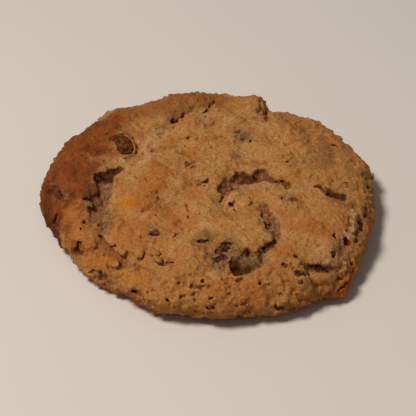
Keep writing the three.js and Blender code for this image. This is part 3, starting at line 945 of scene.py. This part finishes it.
# Mostly painted shade: brown bands in creases, under plates and edges, and on slopes turned from the light,
# with some browner crumb.
BROWN = {
    "crease": ([(99, 233), (103, 243), (109, 251), (116, 257), (125, 262)], 1.15, 0.85),
    "crease end": ([(133, 263.5), (142, 267), (152, 272)], 0.4, 0.7),
    "crease tail": ([(152, 273), (158, 278)], 0.9, 0.4),
    "back slope": ([(168, 107), (170, 117), (176, 113), (182, 111)], 1.9, 0.55),
    "back low": ([(167, 127), (172, 130)], 1.4, 0.6),
    "back right": ([(289, 122), (299, 128), (309, 134)], 1.3, 0.6),
    "back band": ([(322, 139), (324, 149), (328, 164)], 1.8, 0.65),
    "under the rim": ([(92, 192), (95, 198)], 1.4, 0.6),
    "left crumb": ([(98, 208), (97, 217), (88, 226)], 1.7, 0.6),
    "right slope": ([(334, 200.5), (343, 204)], 1.4, 0.4),
    "flake left": ([(348.5, 217.5), (347.5, 225), (347, 231)], 0.6, 0.8),
    "flake top": ([(348, 205.5), (357, 205)], 0.7, 0.7),
    "right raisin": ([(333, 254), (337, 250), (339, 246)], 1.0, 0.6),
    "lobe": ([(265, 111), (266, 121)], 1.0, 0.6),
    "plate": ([(160, 147), (170, 145.5), (177, 144)], 0.6, 0.75),
    "plate left": ([(150, 149), (157, 150)], 0.6, 0.6),
    "plate right": ([(178, 152.5), (183, 153.5)], 0.5, 0.7),
    "mark": ([(211, 146.5), (217, 145)], 0.55, 0.7),
    "mark right": ([(233, 156.5), (237, 155.5)], 0.7, 0.7),
    "above the hook": ([(254, 162.5), (265, 164)], 0.7, 0.6),
    "rim": ([(126, 157), (135, 156)], 0.6, 0.5),
    "square": ([(191, 164), (187, 168)], 0.7, 0.7),
    "front hollow": ([(209, 309), (212, 307)], 0.9, 0.7),
    "front shade": ([(298, 304), (306, 302)], 1.3, 0.5),
    "front right shade": ([(320, 293), (330, 289)], 1.4, 0.7),
    "front low": ([(230, 306), (245, 309)], 1.5, 0.4),
    "foot": ([(338, 278), (344, 276), (348, 273)], 0.8, 0.7),
    "lump": ([(241, 262), (245, 266)], 1.6, 0.3),
}
# Painted shade: near-black brown in tears, pits, slots and under edges and lumps, with the dark crumb of
# torn places.
DARK = {
    "double pit": ([(235.5, 266.5), (236, 271.5)], 1.4, 1.0),
    "lump": ([(241, 263), (245, 267)], 1.5, 0.25),
    "left strip": ([(46, 203), (48.5, 216), (54, 230), (58, 238)], 2.4, 0.6),
    "left cleft": ([(59, 193.5), (62.5, 197.5)], 0.8, 0.9),
    "right slot": ([(328.5, 193.5), (334, 196.5), (343, 196)], 1.3, 0.85),
    "right slot left": ([(319, 187.5), (325, 189.5)], 0.5, 0.8),
    "slot": ([(308, 267.5), (318, 268.5), (329, 269)], 1.0, 0.85),
    "rim tear": ([(101, 177.5), (110, 177.5)], 1.2, 0.9),
    "rim tear right": ([(110, 171), (114, 172.5), (120, 168.5)], 1.0, 0.85),
    "rim foot": ([(99.8, 184), (100, 196)], 0.45, 0.7),
    "hook roof": ([(236, 171.5), (241, 174), (247, 176)], 0.6, 0.6),
    "hook middle": ([(243, 179), (249, 180), (254, 177.5)], 1.3, 0.65),
    "hook right": ([(259.5, 171.5), (262, 170)], 0.7, 0.8),
    "hook left": ([(222, 187), (222, 198)], 0.45, 0.7),
    "hook dots": ([(231, 185), (235, 186.5)], 0.6, 0.4),
    "left hollow": ([(48.5, 190), (54, 188.5), (57, 192)], 1.3, 0.6),
    "lump foot": ([(240.5, 269), (245, 269.5), (249, 267.5)], 0.8, 0.85),
    "lump right": ([(259.5, 251.5), (261, 259), (259, 264.5)], 0.5, 0.75),
    "second tear": ([(271, 246), (266, 248.5), (261, 250.5)], 0.95, 0.85),
    "right shade": ([(366, 209), (365.5, 214), (368.5, 217)], 1.1, 0.6),
    "front hollow": ([(131, 294), (134, 292), (139, 293)], 1.2, 0.35),
    "low left": ([(75, 250.5), (80, 252.5)], 0.95, 0.65),
    "low left hole": ([(99.5, 276), (105, 276)], 0.9, 0.8),
    "low left upper": ([(75, 243.5), (79.5, 243.5), (81.5, 247)], 0.8, 0.5),
    "slot end": ([(306, 265), (308, 269.5)], 0.8, 0.7),
}
GREY = {
    "front middle raisin": ([(226, 246), (218, 254), (217, 264)], 2.5, 0.7),
    "front middle raisin right": ([(230, 243), (231, 250)], 1.2, 0.35),
    "small raisin": ([(197, 244), (208, 239)], 1.9, 0.6),
    "back raisin": ([(237, 133), (243, 138)], 2.0, 0.85),
    "left raisin": ([(148, 230), (157, 231)], 1.2, 0.5),
    "back right": ([(321, 150), (326, 166)], 2.2, 0.4),
    "green slit": ([(315, 168), (320, 169)], 1.4, 0.4),
    "right edge": ([(361, 176), (369, 189)], 1.5, 0.6),
    "right shade": ([(366, 206), (368, 214)], 2.0, 0.5),
    "cleft": ([(361, 221), (359, 238)], 1.3, 0.7),
    "right raisin": ([(333, 251), (339, 247)], 1.5, 0.65),
    "lump": ([(240, 264), (245, 259), (250, 262), (255, 260)], 2.4, 0.85),
    "left crumb": ([(103, 188), (98, 202), (100, 213), (104, 226)], 2.4, 0.7),
    "left edge raisin": ([(65, 197), (68, 197.5)], 0.7, 0.5),
}


def spread(patches, places, uneven, edge=0.45):
    """How much of a colour each place has, from patches that lie along lines on the crust."""
    amount = np.zeros(len(places))
    for pixels, radius, strength in patches.values():
        gap = np.full(len(places), np.inf)
        for place in smoothed_path(pixels, PATCH_STEP):
            gap = np.minimum(gap, np.linalg.norm(places - place, axis=1))
        share = smooth_step(1 + edge, 1 - edge, gap / radius + 0.25 * uneven)
        amount = np.maximum(amount, strength * share)
    return amount


def under_crust(places):
    """How deep each place lies under the CAD model's surface, and the nearest place on it."""
    depths = -sample(base, places)
    lifted = places + depths[:, None] * outward(base, places)
    for number, (x, y, z) in enumerate(places):
        hit, normal = crust_tree.ray_cast(Vector((x, y, ABOVE)), Vector((0, 0, -1)))[:2]
        if hit and normal.z > LEVEL and (hit.z - z) * normal.z < DEEPEST:
            depths[number] = (hit.z - z) * normal.z
            lifted[number] = places[number] + depths[number] * np.array(normal)
    return depths, lifted


def store(piece, name, values):
    """Keeps a number at each corner of a mesh, for its material."""
    attribute = piece.data.attributes.new(name, "FLOAT", "POINT")
    attribute.data.foreach_set("value", values.astype(np.float32))


corners = places_on(crust)
depth, above = under_crust(corners)
uneven = 0.6 * sample(rolls, corners) + 0.6 * sample(fine, corners)

# How deep the corners lie in cracks and pits, apart from what sinks the crust round them.
cut_away = hollow
for axis, step in ((0, -2), (0, 2), (1, -2), (1, 2)):
    cut_away = np.maximum(cut_away, np.roll(hollow, step, axis))
deep = depth - sample(np.maximum(swell, 0) + cut_away, corners)

# Grey film and windows over raisins keep their own colour, so they count as less deep.
greyed = spread(GREY, above, uneven)
near_window = smooth_step(0.5, 0.0, sample(windows, corners))
deep -= 0.7 * greyed
deep -= 0.9 * near_window
store(crust, "browned", spread(BROWNED, above, uneven))
store(crust, "orange", spread(ORANGE, above, 0.7 * uneven, 0.3))
store(crust, "yellow", spread(YELLOW, above, uneven))
store(crust, "pale", spread(PALE, above, uneven))
store(crust, "brown", spread(BROWN, above, uneven))
store(crust, "dark", spread(DARK, above, 0.7 * uneven))
# Walls of cracks and pits, which the material paints a redder brown: the dough inside them, and painted
# shade.
near_hole = smooth_step(0.2, 0.0, sample(holes, corners)) * (1 - near_window)
store(crust, "hole", near_hole * smooth_step(0.0, 0.4, deep))
height = corners[:, 2]
near_raisin = smooth_step(1.1, 0.55, sample(raisin_field, corners)) * smooth_step(2, 4, height)
store(crust, "grey", np.maximum(greyed, 0.15 * near_raisin))
store(crust, "torn", sample(torn, corners))
store(crust, "deep", deep)
# Below 0 in crevices and between lumps: from it the material paints shade there.
store(crust, "ridge", sample(blurred(dough, 1.2), corners))
# Darker and more orange towards the bottom: the browned underside, and painted shade under the edge.
store(crust, "low", smooth_step(4.5, 0.5, height + 0.8 * uneven))
from_middle = np.hypot(corners[:, 0] / cad_high[0], corners[:, 1] / cad_high[1]) * MM
store(crust, "outer", smooth_step(0.4, 1.0, from_middle + 0.1 * uneven))

# ---- Materials ----


def linear(red, green, blue):
    """A colour in Blender's units from its 0 to 255 values."""
    shares = [value / 255 for value in (red, green, blue)]
    return (*(s / 12.92 if s < 0.04045 else ((s + 0.055) / 1.055) ** 2.4 for s in shares), 1)


# A Mix node has sockets for numbers, vectors and colours: these are the share and the colours.
MIX_SOCKETS = (0, 6, 7)
MIX_RESULT = 2


class Finish:
    """A material under construction: each call adds a node and gives back what it puts out."""

    def __init__(self, name, roughness, specular):
        self.material = bpy.data.materials.new(name)
        self.material.use_nodes = True
        self.nodes = self.material.node_tree.nodes
        self.links = self.material.node_tree.links
        self.surface = self.nodes["Principled BSDF"]
        self.surface.inputs["Roughness"].default_value = roughness
        self.surface.inputs["Specular IOR Level"].default_value = specular
        self.place = self.nodes.new("ShaderNodeTexCoord").outputs["Object"]

    def put(self, socket, value):
        if isinstance(value, bpy.types.NodeSocket):
            self.links.new(value, socket)
        else:
            socket.default_value = value

    def stored(self, name):
        node = self.nodes.new("ShaderNodeAttribute")
        node.attribute_name = name
        return node.outputs["Fac"]

    def noise(self, size, detail):
        """Noise round 0.5 with bumps about `size` mm across."""
        node = self.nodes.new("ShaderNodeTexNoise")
        node.inputs["Scale"].default_value = 1 / (size * MM)
        node.inputs["Detail"].default_value = detail
        self.put(node.inputs["Vector"], self.place)
        return node.outputs["Fac"]

    def ramp(self, value, low, high, to_low=0.0, to_high=1.0):
        """A value from low to high turned smoothly into one from to_low to to_high."""
        node = self.nodes.new("ShaderNodeMapRange")
        node.interpolation_type = "SMOOTHSTEP"
        numbers = {"Value": value, "From Min": low, "From Max": high, "To Min": to_low, "To Max": to_high}
        for name, number in numbers.items():
            self.put(node.inputs[name], number)
        return node.outputs["Result"]

    def times(self, *values):
        node = self.nodes.new("ShaderNodeMath")
        node.operation = "MULTIPLY"
        for socket, value in zip(node.inputs, values):
            self.put(socket, value)
        return node.outputs[0]

    def mix(self, share, first, second, kind="MIX"):
        node = self.nodes.new("ShaderNodeMix")
        node.data_type = "RGBA"
        node.blend_type = kind
        for number, value in zip(MIX_SOCKETS, (share, first, second)):
            self.put(node.inputs[number], value)
        return node.outputs[MIX_RESULT]

    def bump(self, height, distance):
        node = self.nodes.new("ShaderNodeBump")
        node.inputs["Distance"].default_value = distance * MM
        self.put(node.inputs["Height"], height)
        self.put(self.surface.inputs["Normal"], node.outputs["Normal"])


GOLDEN = linear(163, 115, 62)
GOLDEN_PALE = linear(170, 128, 80)
GOLDEN_DEEP = linear(154, 100, 49)
ORANGE_BROWN = linear(156, 92, 38)
DARK_BROWN = linear(121, 61, 18)
DARKEST_BROWN = linear(99, 47, 12)
YELLOW_DOUGH = linear(168, 102, 12)
PALE_CRUMB_AND_HIGHLIGHT = linear(168, 124, 80)
TORN_CRUMB = linear(140, 93, 60)
TORN_DARK = linear(108, 64, 36)
SHADE_BROWN = linear(124, 72, 36)
SHADE_DARK = linear(62, 26, 4)
GREY_FILM = linear(124, 92, 56)
GREY_DARK = linear(92, 64, 36)
# The redder brown of cracks with painted shade in them, and painted shade deep in cracks and pits.
CRACK_AND_SHADE = linear(122, 57, 14)
DEEP_CRACK_SHADE = linear(94, 37, 4)
SPECKLE_DARK = (0.80, 0.72, 0.62, 1)
SPECKLE_LIGHT = (1.16, 1.19, 1.24, 1)


def crust_material():
    baked = Finish("baked_crust", 0.85, 0.12)
    golden = baked.mix(baked.ramp(baked.noise(7, 4), 0.38, 0.62), GOLDEN, GOLDEN_DEEP)
    colour = baked.mix(baked.ramp(baked.noise(3, 4), 0.52, 0.7, 0, 0.7), golden, GOLDEN_PALE)
    freckles = baked.ramp(baked.noise(1.6, 3), 0.58, 0.72, 0, 0.4)
    outer = baked.times(baked.stored("outer"), 0.5)
    low = baked.times(baked.stored("low"), 0.45)
    brown = baked.mix(baked.ramp(baked.noise(5, 4), 0.4, 0.65), DARK_BROWN, DARKEST_BROWN)
    brown = baked.mix(baked.ramp(baked.noise(1.2, 4), 0.56, 0.7, 0, 0.25), brown, GOLDEN_DEEP)
    crumb = baked.mix(baked.ramp(baked.noise(1.3, 3), 0.42, 0.6), TORN_DARK, TORN_CRUMB)
    film = baked.mix(baked.ramp(baked.noise(1.0, 3), 0.42, 0.6), GREY_DARK, GREY_FILM)
    layers = [
        (freckles, ORANGE_BROWN),
        (outer, GOLDEN_DEEP),
        (baked.stored("orange"), ORANGE_BROWN),
        # The browned bottom, with painted shade under the edge.
        (low, ORANGE_BROWN),
        (baked.stored("browned"), brown),
        (baked.stored("yellow"), YELLOW_DOUGH),
        (baked.stored("pale"), PALE_CRUMB_AND_HIGHLIGHT),
        (baked.stored("torn"), crumb),
        (baked.stored("grey"), film),
        # Painted shade from the brown bands.
        (baked.stored("brown"), SHADE_BROWN),
        # Painted shade, with the redder dough, on the walls of cracks and pits.
        (baked.times(baked.stored("hole"), 0.8), CRACK_AND_SHADE),
        # Painted shade in crevices and between lumps.
        (baked.ramp(baked.stored("ridge"), 0.0, -0.14, 0, 0.4), DARK_BROWN),
        (baked.ramp(baked.stored("ridge"), -0.12, -0.35, 0, 0.8), CRACK_AND_SHADE),
        # Darker the deeper a place lies: painted shade in cracks and pits.
        (baked.ramp(baked.stored("deep"), 0.4, 1.0, 0, 0.9), CRACK_AND_SHADE),
        (baked.ramp(baked.stored("deep"), 1.0, 1.9, 0, 0.8), DEEP_CRACK_SHADE),
        # Painted shade from the dark patches.
        (baked.stored("dark"), SHADE_DARK),
    ]
    for share, tint in layers:
        colour = baked.mix(share, colour, tint)
    speckle = baked.mix(baked.ramp(baked.noise(0.5, 2), 0.32, 0.68), SPECKLE_DARK, SPECKLE_LIGHT)
    colour = baked.mix(1.0, colour, speckle, "MULTIPLY")
    baked.put(baked.surface.inputs["Base Color"], colour)
    roughness = baked.ramp(baked.noise(2.5, 3), 0.35, 0.65, 0.72, 0.95)
    baked.put(baked.surface.inputs["Roughness"], roughness)
    baked.bump(baked.noise(0.55, 3), 0.3)
    baked.surface.inputs["Subsurface Weight"].default_value = 0.2
    baked.surface.inputs["Subsurface Radius"].default_value = (0.9, 0.4, 0.2)
    baked.surface.inputs["Subsurface Scale"].default_value = 1.0 * MM
    return baked.material


def raisin_material(name, dark, light, roughness):
    """Wrinkled skin, with painted shade in its creases and painted highlight on its crests."""
    raisin = Finish(name, roughness, 0.05)
    patches = raisin.ramp(raisin.noise(1.2, 4), 0.35, 0.65, 0, 0.6)
    crest = raisin.times(raisin.stored("crest"), patches)
    raisin.put(raisin.surface.inputs["Base Color"], raisin.mix(crest, dark, light))
    raisin.bump(raisin.noise(0.7, 4), 0.25)
    return raisin.material


def floor_material():
    worktop = Finish("pale_worktop", 0.75, 0.3)
    worktop.surface.inputs["Base Color"].default_value = linear(200, 188, 176)
    return worktop.material


crust.data.materials.clear()
crust.data.materials.append(crust_material())
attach(crust, "root")
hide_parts("dough")

# ---- The raisins ----

dark_skin = raisin_material("raisin_skin", linear(52, 25, 15), linear(116, 74, 54), 0.6)
dusty_skin = raisin_material("dusty_raisin_skin", linear(66, 31, 9), linear(128, 78, 38), 0.75)
DUSTY_RAISINS = ("raisin_left_rim", "raisin_pit", "raisin_left_edge")


def creases_at(places):
    """1 in the creases of a raisin, which run along it, and 0 between them."""
    centre = places.mean(axis=0)
    along = np.linalg.eigh(np.cov((places - centre).T))[1][:, ::-1]
    turned = (places - centre) @ along / (WRINKLE_LENGTH, WRINKLE_WIDTH, WRINKLE_WIDTH)
    values = np.array([noise.noise(Vector(place)) for place in turned + centre])
    return np.exp(-((values / CREASE_SPREAD) ** 2))


for node in raisins:
    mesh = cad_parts[node].data.copy()
    piece = add_piece(node.replace("raisin", "wrinkled_raisin"), mesh)
    weld = piece.modifiers.new("weld", "WELD")
    weld.merge_threshold = 0.01 * MM
    round_off = piece.modifiers.new("round_off", "SUBSURF")
    round_off.levels = round_off.render_levels = RAISIN_LEVELS
    apply_modifiers(piece)
    places = places_on(piece)
    creases = creases_at(places)
    cut = np.clip(0.15 - sample(holes, places), 0, 0.4)
    cut += PUSHED_ASIDE * smooth_step(0.5, 0.1, sample(bored, places))
    uncovered = smooth_step(0.3, -0.3, sample(windows, places))
    lift = PROUD * uncovered - WRINKLE * creases - cut
    places += lift[:, None] * outward(raisin_field, places, 0.4)
    piece.data.vertices.foreach_set("co", (places * MM).ravel())
    # Painted highlight on crests, and painted shade in creases and where a raisin is pushed down into a
    # hole.
    store(piece, "crest", np.clip(1 - creases - cut, 0, 1))
    piece.data.shade_smooth()
    piece.data.materials.clear()
    piece.data.materials.append(dusty_skin if node in DUSTY_RAISINS else dark_skin)
    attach(piece, "root")
    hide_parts(node)

# ---- The worktop and the light ----

FLOOR_HALF = 3000 * MM

floor_mesh = bpy.data.meshes.new("worktop")
floor_corners = [(x * FLOOR_HALF, y * FLOOR_HALF, 0) for x, y in ((-1, -1), (1, -1), (1, 1), (-1, 1))]
floor_mesh.from_pydata(floor_corners, [], [(0, 1, 2, 3)])
floor = add_piece("worktop", floor_mesh)
floor_mesh.materials.append(floor_material())

KEY_DIRECTION = Vector((-0.45, -0.18, 1.0)).normalized()
KEY_DISTANCE = 800 * MM
KEY_SIZE = 200 * MM
KEY_POWER = 6.35
SKY = 0.2
SKY_COLOUR = (1, 0.985, 0.96, 1)

key = bpy.data.objects.new("key", bpy.data.lights.new("key", "AREA"))
bpy.context.scene.collection.objects.link(key)
key.data.energy = KEY_POWER
key.data.size = KEY_SIZE
key.location = KEY_DIRECTION * KEY_DISTANCE
key.rotation_mode = "QUATERNION"
key.rotation_quaternion = (-KEY_DIRECTION).to_track_quat("-Z", "Y")

world = bpy.data.worlds.new("sky")
bpy.context.scene.world = world
world.use_nodes = True
sky = world.node_tree.nodes["Background"]
sky.inputs["Color"].default_value = SKY_COLOUR
sky.inputs["Strength"].default_value = SKY
bpy.context.scene.view_settings.view_transform = "Standard"
